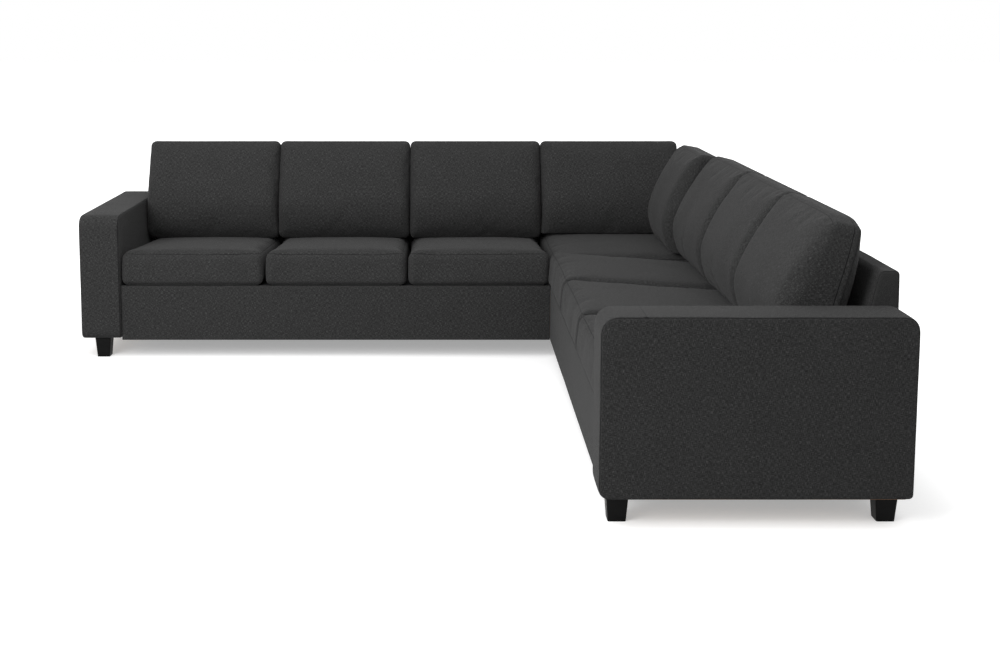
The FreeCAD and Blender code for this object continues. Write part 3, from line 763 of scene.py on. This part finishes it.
def back_points(box, length, seed):
    """The form of a back that starts at x = 0. Its depth follows its thickness at each height."""
    flat = box["points"]
    thick = BACK_TOP_THICK
    box["points"] = flat * [1, thick, 1]
    box["size"] = [length, thick, box["size"][2]]
    corners = ((BACK_LOW_RADIUS, BACK_LOW_RADIUS), (BACK_TOP_RADIUS, BACK_TOP_RADIUS))
    points, out = round_off(box, corners, (BACK_EDGE, BACK_EDGE), (BACK_EDGE, BACK_EDGE))
    ends = np.sin(math.pi * np.clip(flat[:, 0] / length, 0, 1)) ** END_FULLNESS
    height = np.abs(2 * flat[:, 2] / flat[:, 2].max() - 1)
    bulge = BACK_CROWN * ends * (1 - height ** BACK_FLATNESS)
    points += out * np.where(box["on_panel"], 0, bulge)[:, None]
    points = uneven(points, out, BACK_UNEVEN, BACK_GRAIN, seed)
    z = points[:, 2] + back_low.z
    front = back_front(box["points"][:, 2] + back_low.z)
    points[:, 1] = front + points[:, 1] / thick * (back_high.y - front)
    points[:, 2] = z
    return points


for side in WINGS:
    length = back_high.x - back_low.x
    box = back_box(length)
    points = back_points(box, length, 5 if side == "left" else 6)
    points = fit_to(points, "left_back_cover")
    back = make_piece(side + "_back_upholstery", box, points, side == "right")
    finish_piece(back, "base", side + "_back_cover")

MITRE_GAP = 0.3 * MM
for side in ("rear", "side"):
    low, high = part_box("corner_back_cover_rear")
    length = high.x - low.x
    box = back_box(length)
    points = back_points(box, length, 7 if side == "rear" else 8)
    share = points[:, 0] / length
    points[:, 0] = low.x + share * (points[:, 1] - MITRE_GAP - low.x)
    points = fit_to(points, "corner_back_cover_rear")
    back = make_piece("corner_back_upholstery_" + side, box, points, side == "side")
    finish_piece(back, "base", "corner_back_cover_" + side)


# Seat cushions
# Cold foam in a box cover: a top panel, a bottom panel and a boxing strip, sewn round both
# edges. The tops are crowned, the edges soft, and the undersides lie flat on the deck.

SEAT_STEP = 15 * MM
SEAT_CLOSE = (6 * MM, 13 * MM, 24 * MM)
SEAT_STRIP_CLOSE = (6 * MM, 14 * MM)
SEAT_THICK = 158 * MM
SEAT_CORNER = 30 * MM
SEAT_TOP_EDGE = (40 * MM, 38 * MM)
SEAT_LOW_EDGE = (24 * MM, 26 * MM)
SEAT_CROWN = 12 * MM
SEAT_FLATNESS = 2.6
SEAT_UNEVEN = 1.5 * MM
SEAT_GRAIN = 150 * MM
SEAT_SHRINK = 6 * MM
SEAT_FILL = 4.0
SEAT_PUFF = 14 * MM
SEAT_PULL = 0.9 * MM
HELD_UNDER = 30 * MM
LYING_FLAT = 0.02
PULL_REACH = 4 * MM
SIM_FRAMES = 20


def puff_up(pads, held, pressure, cap):
    """Fill covers with air for a few steps, as cloth, and keep at most `cap` of the movement."""
    starts = [points_of(pad) for pad in pads]
    for pad, fixed in zip(pads, held):
        group = pad.vertex_groups.new(name="held")
        group.add([int(n) for n in np.flatnonzero(fixed)], 1.0, "REPLACE")
        sewn = pad.vertex_groups.new(name="sewn")
        seam = np.empty(len(pad.data.vertices), np.float32)
        pad.data.attributes["seam"].data.foreach_get("value", seam)
        sewn.add([int(n) for n in np.flatnonzero(seam < HAIR)], 1.0, "REPLACE")
        cloth = pad.modifiers.new("Cloth", "CLOTH")
        settings = cloth.settings
        settings.quality = 5
        settings.mass = 0.3
        settings.tension_stiffness = 18
        settings.compression_stiffness = 18
        settings.shear_stiffness = 8
        settings.bending_stiffness = 1.5
        settings.vertex_group_mass = "held"
        settings.vertex_group_shrink = "sewn"
        settings.shrink_min = -0.006
        settings.shrink_max = 0.012
        settings.use_pressure = True
        settings.uniform_pressure_force = pressure
        settings.effector_weights.gravity = 0
        cloth.point_cache.frame_end = SIM_FRAMES
    for step in range(1, SIM_FRAMES + 1):
        scene.frame_set(step)
    graph = bpy.context.evaluated_depsgraph_get()
    results = [points_of(pad.evaluated_get(graph)) for pad in pads]
    for pad, start, result in zip(pads, starts, results):
        pad.modifiers.remove(pad.modifiers["Cloth"])
        move = result - start
        length = np.maximum(np.linalg.norm(move, axis=1), HAIR)
        put_points(pad, start + move * (cap * np.tanh(length / cap) / length)[:, None])
    scene.frame_set(1)


def normals_of(piece):
    """The outward directions at a piece's points, one row for each."""
    normals = np.empty(len(piece.data.vertices) * 3, np.float32)
    piece.data.vertices.foreach_get("normal", normals)
    return normals.reshape(-1, 3).astype(float)


def draw_in_seams(piece, depth):
    """Pull the cloth in along its seams."""
    seam = np.empty(len(piece.data.vertices), np.float32)
    piece.data.attributes["seam"].data.foreach_get("value", seam)
    pull = depth * np.exp(-(seam / PULL_REACH) ** 2)
    put_points(piece, points_of(piece) - normals_of(piece) * pull[:, None])


def turned(points, angle):
    """Points turned about the X axis."""
    c, s = math.cos(angle), math.sin(angle)
    return np.stack([
        points[:, 0],
        c * points[:, 1] - s * points[:, 2],
        s * points[:, 1] + c * points[:, 2],
    ], 1)


def seat_pad(name, width, length, seed):
    """A seat cushion before it is filled, and which of its points lie on the deck."""
    box = panel_box([
        grid_lines(width - 2 * SEAT_SHRINK, SEAT_STEP, SEAT_CLOSE),
        grid_lines(length - 2 * SEAT_SHRINK, SEAT_STEP, SEAT_CLOSE),
        grid_lines(SEAT_THICK - SEAT_SHRINK, SEAT_STEP, SEAT_STRIP_CLOSE),
    ], main=2)
    corners = ((SEAT_CORNER, SEAT_CORNER), (SEAT_CORNER, SEAT_CORNER))
    points, out = round_off(box, corners, SEAT_LOW_EDGE, SEAT_TOP_EDGE)
    size = box["size"]
    shares = [np.abs(2 * box["points"][:, a] / size[a] - 1) for a in (0, 1)]
    level = box["points"][:, 2] / size[2]
    crown = (1 - shares[0] ** SEAT_FLATNESS) * (1 - shares[1] ** SEAT_FLATNESS)
    points[:, 2] += SEAT_CROWN * level * crown
    rise = np.where(box["on_panel"] & (level > 0.5), 1.0, 0.0)[:, None] * [0, 0, 1] + out
    points = uneven(points, rise, SEAT_UNEVEN, SEAT_GRAIN, seed)
    piece = make_piece(name, box, points)
    underside = box["on_panel"] & (level < 0.5) & (box["seam"] > HELD_UNDER)
    return piece, underside


first_low, first_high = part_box("left_seat_cushion_1")
SEAT_WIDTH = first_high.x - first_low.x
seat_span = first_high.y - first_low.y
SEAT_LENGTH = (seat_span - SEAT_THICK * math.sin(SEAT_SLOPE)) / math.cos(SEAT_SLOPE)
corner_low, corner_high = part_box("corner_seat_cushion")
CORNER_SIDE = corner_high.x - corner_low.x

seats, underside = [], []
for order, side in enumerate(WINGS):
    for number in range(1, SEATS_PER_WING + 1):
        name = side + "_seat_pad_" + str(number)
        pad, fixed = seat_pad(name, SEAT_WIDTH, SEAT_LENGTH, 10 + SEATS_PER_WING * order + number)
        seats.append((pad, side, side + "_seat_cushion_" + str(number)))
        underside.append(fixed)
pad, fixed = seat_pad("corner_seat_pad", CORNER_SIDE, CORNER_SIDE, 17)
seats.append((pad, "corner", "corner_seat_cushion"))
underside.append(fixed)
puff_up([pad for pad, side, node in seats], underside, SEAT_FILL, SEAT_PUFF)

for pad, side, node in seats:
    draw_in_seams(pad, SEAT_PULL)
    flat = points_of(pad)
    flat[:, 2] = np.maximum(flat[:, 2], np.quantile(flat[:, 2], LYING_FLAT))
    if side != "corner":
        flat = turned(flat, -SEAT_SLOPE)
    if side == "right":
        flat = flat[:, [1, 0, 2]]
        pad.data.flip_normals()
    put_points(pad, fit_to(flat, node))
    finish_piece(pad, node, node)


# Back cushions
# Fibre filled covers: the front panel wraps round the sides to a narrow boxing strip, with one
# more seam along its top edge. They lean on the low backs and stand on the seat cushions.

BACK_STEP = 15 * MM
BACK_CLOSE = (4 * MM, 9 * MM, 16 * MM, 26 * MM, 38 * MM)
CUSHION_HEIGHT = 458 * MM
CUSHION_BOXING = 22 * MM
CUSHION_FRONT = 160 * MM
STRIP_CLOSE = (3 * MM, 8 * MM, 15 * MM, CUSHION_BOXING)
TOP_CORNER = 26 * MM
LOW_CORNER = 26 * MM
REAR_EDGE = (14 * MM, 12 * MM)
FRONT_EDGE = (48 * MM, 48 * MM)
TOP_SEAM = CUSHION_FRONT - STRIP_CLOSE[2]
FRONT_FULL = 168 * MM
FRONT_CROWN = 7 * MM
FULLEST_AT = 155 * MM
THINNER = 0.45
THINNER_ABOVE = 1.45
THINNER_BELOW = 1.8
REAR_FULL = 74 * MM
REAR_FLATNESS = 2.4
CUSHION_UNEVEN = 3.5 * MM
CUSHION_GRAIN = 170 * MM
SIDES_UNEVEN = 0.08
REAR_HELD = 60 * MM
SEAM_HELD = 2 * MM
CUSHION_FILL = 2.0
CUSHION_PUFF = 8 * MM
CUSHION_PULL = 0.8 * MM
CUSHION_LEAN = math.radians(14.6)
SIDE_LEAN = math.radians(10.5)
SEAM_HEIGHT = 410 * MM
NEARLY_TOUCHING = 1.9 * MM
SLUMP = 17 * MM
SLUMP_REACH = 75 * MM


def back_pad(name, width, seed, slump):
    """A back cushion before it is filled, on its rear with its foot along y = 0, and its points
    that keep their place. Its top corner at x = 0 may have slumped."""
    box = panel_box([
        grid_lines(width, BACK_STEP, BACK_CLOSE),
        grid_lines(CUSHION_HEIGHT, BACK_STEP, BACK_CLOSE),
        grid_lines(CUSHION_FRONT, BACK_STEP, STRIP_CLOSE),
    ], main=2)
    corners = ((LOW_CORNER, LOW_CORNER), (TOP_CORNER, TOP_CORNER))
    points, out = round_off(box, corners, REAR_EDGE, FRONT_EDGE)
    flat = box["points"]
    strip = ~box["on_panel"]
    front = box["on_panel"] & (flat[:, 2] > CUSHION_FRONT / 2)
    rear = box["on_panel"] & ~front
    to_seam = np.minimum(flat[:, 2], np.abs(flat[:, 2] - CUSHION_BOXING))
    box["seam"] = np.where(strip, to_seam, np.where(front, NO_SEAM, box["seam"]))
    to_top_seam = np.hypot(flat[:, 2] - TOP_SEAM, CUSHION_HEIGHT - flat[:, 1])
    box["seam"] = np.where(rear, box["seam"], np.minimum(box["seam"], to_top_seam))

    # The front panel wraps round the sides. It is fullest a third of the way up.
    above = (points[:, 1] - FULLEST_AT) / (CUSHION_HEIGHT - FULLEST_AT)
    below = (FULLEST_AT - points[:, 1]) / FULLEST_AT
    thinner = np.where(above > 0, np.abs(above) ** THINNER_ABOVE, np.abs(below) ** THINNER_BELOW)
    across = np.abs(2 * flat[:, 0] / width - 1)
    middle = np.abs(2 * flat[:, 1] / CUSHION_HEIGHT - 1)
    crown = FRONT_CROWN * (1 - across ** 2) * (1 - middle ** 2)
    full = FRONT_FULL * (1 - THINNER * thinner) + crown
    beyond = np.maximum(points[:, 2] - CUSHION_BOXING, 0) / (CUSHION_FRONT - CUSHION_BOXING)
    points[:, 2] = np.minimum(points[:, 2], CUSHION_BOXING) + beyond * (full - CUSHION_BOXING)
    bulge = (1 - across ** REAR_FLATNESS) * (1 - middle ** REAR_FLATNESS)
    points[:, 2] -= np.where(rear, REAR_FULL * bulge, 0)
    rise = np.where(front, 1.0, 0.0)[:, None] * [0, 0, 1] + SIDES_UNEVEN * out
    points = uneven(points, rise, CUSHION_UNEVEN, CUSHION_GRAIN, seed)
    from_corner = np.hypot(flat[:, 0], CUSHION_HEIGHT - flat[:, 1])
    sag = slump * np.exp(-(from_corner / SLUMP_REACH) ** 2)
    points[:, 0] += sag
    points[:, 1] -= sag
    piece = make_piece(name, box, points)
    held_sides = strip & (flat[:, 2] < CUSHION_FRONT - FRONT_EDGE[1])
    resting = rear & ((box["seam"] > REAR_HELD) | (box["seam"] < SEAM_HELD))
    return piece, held_sides | resting


backs, leaning = [], []
for order, side in enumerate(WINGS):
    for number in range(1, SEATS_PER_WING + 1):
        name = side + "_back_pad_" + str(number)
        at_near_arm = side == "right" and number == 1
        seed = 30 + SEATS_PER_WING * order + number
        pad, fixed = back_pad(name, SEAT_WIDTH, seed, SLUMP if at_near_arm else 0.0)
        backs.append((pad, side, side + "_back_cushion_" + str(number)))
        leaning.append(fixed)
for side in ("rear", "side"):
    node = "corner_back_cushion_" + side
    low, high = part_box(node)
    width = high.x - low.x if side == "rear" else high.y - low.y
    pad, fixed = back_pad("corner_back_pad_" + side, width, 38 if side == "rear" else 39, 0.0)
    backs.append((pad, side, node))
    leaning.append(fixed)
puff_up([pad for pad, side, node in backs], leaning, CUSHION_FILL, CUSHION_PUFF)

for pad, side, node in backs:
    draw_in_seams(pad, CUSHION_PULL)
    lean = SIDE_LEAN if side == "side" else CUSHION_LEAN
    leaning_back = turned(points_of(pad), math.pi / 2 - lean)
    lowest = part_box(node)[0].z - SEAM_HEIGHT
    leaning_back[:, 2] = np.maximum(leaning_back[:, 2], lowest)
    along = 0
    if side in ("right", "side"):
        along = 1
        leaning_back = leaning_back[:, [1, 0, 2]]
        pad.data.flip_normals()
    put_points(pad, fit_to(leaning_back, node, NEARLY_TOUCHING * np.eye(3)[along]))
    finish_piece(pad, node, node)


# Floor, daylight and camera
# A white floor that runs into a white surround. It keeps the sofa's own soft shadow right under it,
# and painted light whitens the floor further out.

FLOOR_REACH = 40.0
FLOOR_TONE = 0.80
FLOOR_BOUNCE = 0.30
SHADE_LIFT = 0.345
EDGE_LIFT = 0.55
FAR_LIFT = 1.0
EDGE_FROM = -90 * MM
EDGE_TO = 30 * MM
FAR_TO = 500 * MM
WHITE = (1.0, 1.0, 1.0, 1.0)
floor_mesh = bpy.data.meshes.new("floor")
ends = (-FLOOR_REACH, FLOOR_REACH)
floor_mesh.from_pydata([(x, y, 0.0) for x in ends for y in ends], [], [(0, 2, 3, 1)])
floor = bpy.data.objects.new("floor", floor_mesh)
scene.collection.objects.link(floor)


def seen_itself(tree):
    """1 where the camera sees the surface, also by way of gloss or glass, and 0 for its light."""
    ray = add(tree, "ShaderNodeLightPath", {}, {}).outputs
    seen = compute(tree, "MAXIMUM", ray["Is Camera Ray"], ray["Is Glossy Ray"])
    return compute(tree, "MAXIMUM", seen, ray["Is Transmission Ray"])


def vector_math(tree, operation, *values):
    """A vector math node of the tree, on one or two vectors or links."""
    inputs = dict(enumerate(values))
    return add(tree, "ShaderNodeVectorMath", {"operation": operation}, inputs).outputs


# White painted studio floor: matt, and lifted to plain white round the sofa by painted light, a
# glow that the camera sees (also in gloss), in two steps out from the sofa's outline, so that its
# shadow stays mostly right under it.
paint, tree, shader = start_material("white_studio_floor")
tree.nodes.remove(shader)
seen = seen_itself(tree)
albedo = add(tree, "ShaderNodeMapRange", {}, {
    "Value": seen,
    "To Min": FLOOR_BOUNCE,
    "To Max": FLOOR_TONE,
})
matt = add(tree, "ShaderNodeBsdfDiffuse", {}, {"Color": albedo.outputs["Result"]})
here = object_place(tree)


def outside(tree, here, low, high, inset):
    """How far a place on the floor is from an oblong there, which is drawn in by `inset`."""
    middle = [(a + b) / 2 for a, b in zip(low, high)] + [0.0]
    half = [(b - a) / 2 - inset for a, b in zip(low, high)] + [1.0]
    moved = vector_math(tree, "SUBTRACT", here, middle)[0]
    folded = vector_math(tree, "ABSOLUTE", moved)[0]
    over = vector_math(tree, "SUBTRACT", folded, half)[0]
    beyond = vector_math(tree, "MAXIMUM", over)[0]
    return vector_math(tree, "LENGTH", beyond)["Value"]


far, near = cad_bounds[1][0], cad_bounds[0][0]
front_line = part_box("left_front_rail_cover")[0].y
wing_boxes = (((near, front_line), (far, far)), ((front_line, near), (far, far)))
both_wings = [outside(tree, here, low, high, -EDGE_FROM) for low, high in wing_boxes]
distance = compute(tree, "MINIMUM", *both_wings)
edge = add(tree, "ShaderNodeMapRange", {"interpolation_type": "SMOOTHSTEP"}, {
    "Value": distance,
    "From Max": EDGE_TO - EDGE_FROM,
    "To Min": SHADE_LIFT,
    "To Max": EDGE_LIFT,
})
height = add(tree, "ShaderNodeMapRange", {"interpolation_type": "SMOOTHSTEP"}, {
    "Value": distance,
    "From Min": EDGE_TO - EDGE_FROM,
    "From Max": FAR_TO - EDGE_FROM,
    "To Min": edge.outputs["Result"],
    "To Max": FAR_LIFT,
})
# Painted light: the glow is weakest at the sofa's outline and plain white further out, where it
# covers the sofa's shadow.
lift = compute(tree, "MULTIPLY", seen, height.outputs["Result"])
painted_glow = add(tree, "ShaderNodeEmission", {}, {"Color": WHITE, "Strength": lift})
both = add(tree, "ShaderNodeAddShader", {}, {0: matt.outputs[0], 1: painted_glow.outputs[0]})
tree.links.new(both.outputs[0], tree.nodes["Material Output"].inputs["Surface"])
floor_mesh.materials.append(paint)

# The surround: white where it is seen, and a dimmer even light on everything.
SKY_LIGHT = 0.58
world = bpy.data.worlds.new("surround")
scene.world = world
world.use_nodes = True
tree = world.node_tree
seen = seen_itself(tree)
level = add(tree, "ShaderNodeMapRange", {}, {"Value": seen, "To Min": SKY_LIGHT})
sky = tree.nodes["Background"]
sky.inputs["Color"].default_value = WHITE
tree.links.new(level.outputs["Result"], sky.inputs["Strength"])


def soft_box(name, place, aim, width, height, power):
    """A wide soft studio lamp."""
    lamp = bpy.data.lights.new(name, "AREA")
    lamp.shape = "RECTANGLE"
    lamp.size = width
    lamp.size_y = height
    lamp.energy = power
    holder = bpy.data.objects.new(name, lamp)
    scene.collection.objects.link(holder)
    holder.location = place
    holder.rotation_euler = (Vector(aim) - Vector(place)).to_track_quat("-Z", "Y").to_euler()


soft_box(
    "inner_light",
    place=(-0.8, -1.2, 2.6),
    aim=(-0.6, 1.2, 0.4),
    width=2.0,
    height=1.5,
    power=26.0,
)
soft_box(
    "front_light",
    place=(-2.5, -3.6, 2.4),
    aim=(0.0, 0.3, 0.3),
    width=2.4,
    height=2.0,
    power=128.0,
)

# The camera stands where the photograph was taken from, a little above the arms, and looks
# slightly down. A small shift frames the sofa as the photograph does.
lens = bpy.data.cameras.new("camera")
lens.lens = 49.66
lens.sensor_width = 36.0
lens.shift_x = 0.0590
lens.shift_y = -0.150
camera = bpy.data.objects.new("camera", lens)
scene.collection.objects.link(camera)
camera.location = (0.0942, -5.2220, 1.4435)
camera.rotation_euler.x = math.radians(83.19)
scene.camera = camera

scene.view_settings.view_transform = "Standard"
